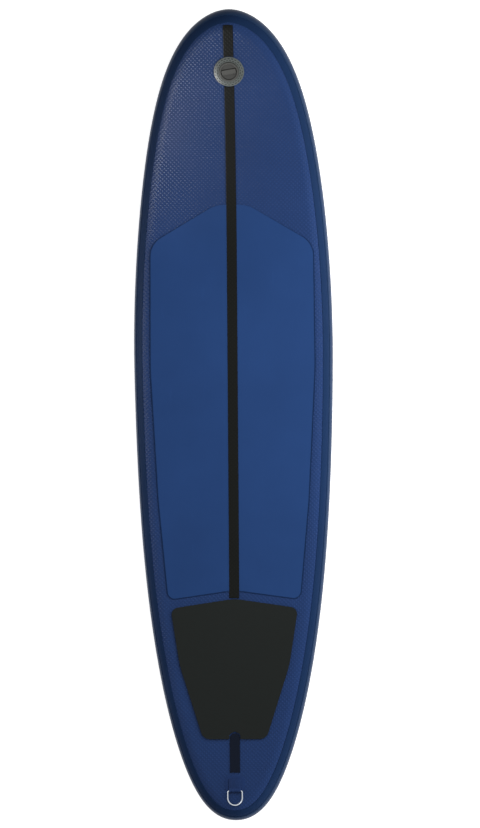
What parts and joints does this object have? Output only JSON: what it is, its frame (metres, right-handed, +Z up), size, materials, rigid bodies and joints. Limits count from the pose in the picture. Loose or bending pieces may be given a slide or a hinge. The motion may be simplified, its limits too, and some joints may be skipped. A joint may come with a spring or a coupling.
{
  "type": "inflatable surfboard",
  "caption": "Inflatable surfboard with a drop-stitch chamber, foam tail pad, screw-capped inflation valve, leash ring, side fins and a sliding centre fin.",
  "frame": {"origin": "middle of the flat belly, where the bottom sheet lies level", "axes": "+X to the board's right seen from above with the nose ahead, +Y towards the nose, +Z up out of the deck"},
  "size_m": [0.6, 2.4377, 0.3153],
  "materials": {
    "yarn": "white polyester pile yarn on woven scrim",
    "chamber_cloth": "grey coated drop-stitch cloth",
    "deck_sheet": "navy vinyl sheet with a fine diamond emboss",
    "bottom_sheet": "navy vinyl sheet, smooth",
    "rail_band": "dark navy vinyl band, smooth with a low sheen",
    "rail_seam_tape": "dark navy vinyl tape, smooth with a low sheen",
    "stringer_tape": "black vinyl tape",
    "stringer_tape_tail": "black vinyl tape",
    "deck_panel": "smooth mid-blue panel",
    "tail_pad": "black closed-cell foam",
    "valve_body": "light grey moulded plastic",
    "valve_cap": "mid grey moulded plastic",
    "valve_inner": "dark grey moulded plastic",
    "seal_rubber": "black rubber",
    "spring_wire": "stainless spring wire",
    "leash_patch": "navy vinyl patch",
    "leash_webbing": "navy polyester webbing",
    "leash_ring": "polished stainless wire",
    "fin": "black moulded nylon",
    "fin_patch": "navy vinyl patch",
    "fin_box": "black moulded plastic",
    "fin_hardware": "stainless steel"
  },
  "bodies": {
    "board": {"drop_stitch_yarns": "yarn", "deck_skin": "chamber_cloth", "bottom_skin": "chamber_cloth", "rail_wall_left": "chamber_cloth", "rail_wall_right": "chamber_cloth", "deck_sheet": "deck_sheet", "bottom_sheet": "bottom_sheet", "rail_band_left": "rail_band", "rail_band_right": "rail_band", "rail_seam_tape": "rail_seam_tape", "stringer_tape_nose": "stringer_tape", "stringer_tape_centre": "stringer_tape", "stringer_tape_tail": "stringer_tape_tail", "deck_panel_left": "deck_panel", "deck_panel_right": "deck_panel", "tail_pad": "tail_pad", "valve_body": "valve_body", "valve_gasket": "seal_rubber", "valve_nut": "valve_inner", "valve_spring": "spring_wire", "leash_patch": "leash_patch", "leash_webbing": "leash_webbing", "side_fin_left": "fin", "side_fin_right": "fin", "side_fin_patch_left": "fin_patch", "side_fin_patch_right": "fin_patch", "fin_box": "fin_box", "fin_box_patch": "fin_patch"},
    "cap_washer": {"valve_cap_seal": "seal_rubber"},
    "cap": {"valve_cap": "valve_cap"},
    "stem_seal": {"valve_seal": "seal_rubber"},
    "stem": {"valve_stem": "valve_inner"},
    "ring": {"leash_ring": "leash_ring"},
    "fin": {"centre_fin": "fin", "fin_pin": "fin_hardware"},
    "screw": {"fin_screw": "fin_hardware"},
    "plate": {"fin_plate": "fin_hardware"}
  },
  "joints": [
    {"name": "cap_lift", "type": "slide", "parent": "board", "child": "cap_washer", "axis": [0, -0.2582, 0.9661], "range_m": [0, 0.006]},
    {"name": "cap_turn", "type": "hinge", "parent": "cap_washer", "child": "cap", "pos_m": [0, 1.0311, 0.17375], "axis": [0, -0.2582, 0.9661], "range_deg": [0, 540]},
    {"name": "valve_press", "type": "slide", "parent": "board", "child": "stem_seal", "axis": [0, 0.2582, -0.9661], "range_m": [0, 0.006], "stiffness_N_per_m": 1500, "springref_m": -0.004, "deforming": ["valve_spring"]},
    {"name": "stem_turn", "type": "hinge", "parent": "stem_seal", "child": "stem", "pos_m": [0, 1.0311, 0.17375], "axis": [0, 0.2582, -0.9661], "range_deg": [0, 90]},
    {"name": "ring_fold", "type": "hinge", "parent": "board", "child": "ring", "pos_m": [0, -1.12887, 0.13368], "axis": [-1, 0, 0], "range_deg": [0, 178]},
    {"name": "fin_slide", "type": "slide", "parent": "board", "child": "fin", "axis": [0, 0.9982, -0.0594], "range_m": [-0.045, 0.018]},
    {"name": "screw_turn", "type": "hinge", "parent": "fin", "child": "screw", "pos_m": [0, -0.94894, -0.01004], "axis": [0, -0.0594, -0.9982], "range_deg": [0, 540]},
    {"name": "plate_drop", "type": "slide", "parent": "fin", "child": "plate", "axis": [0, 0.0594, 0.9982], "range_m": [0, 0.00105]}
  ],
  "couplings": [
    {"joint": "cap_turn", "follows": "cap_lift", "rad_per_m": 1570.8},
    {"joint": "screw_turn", "follows": "plate_drop", "rad_per_m": 8975.9}
  ]
}
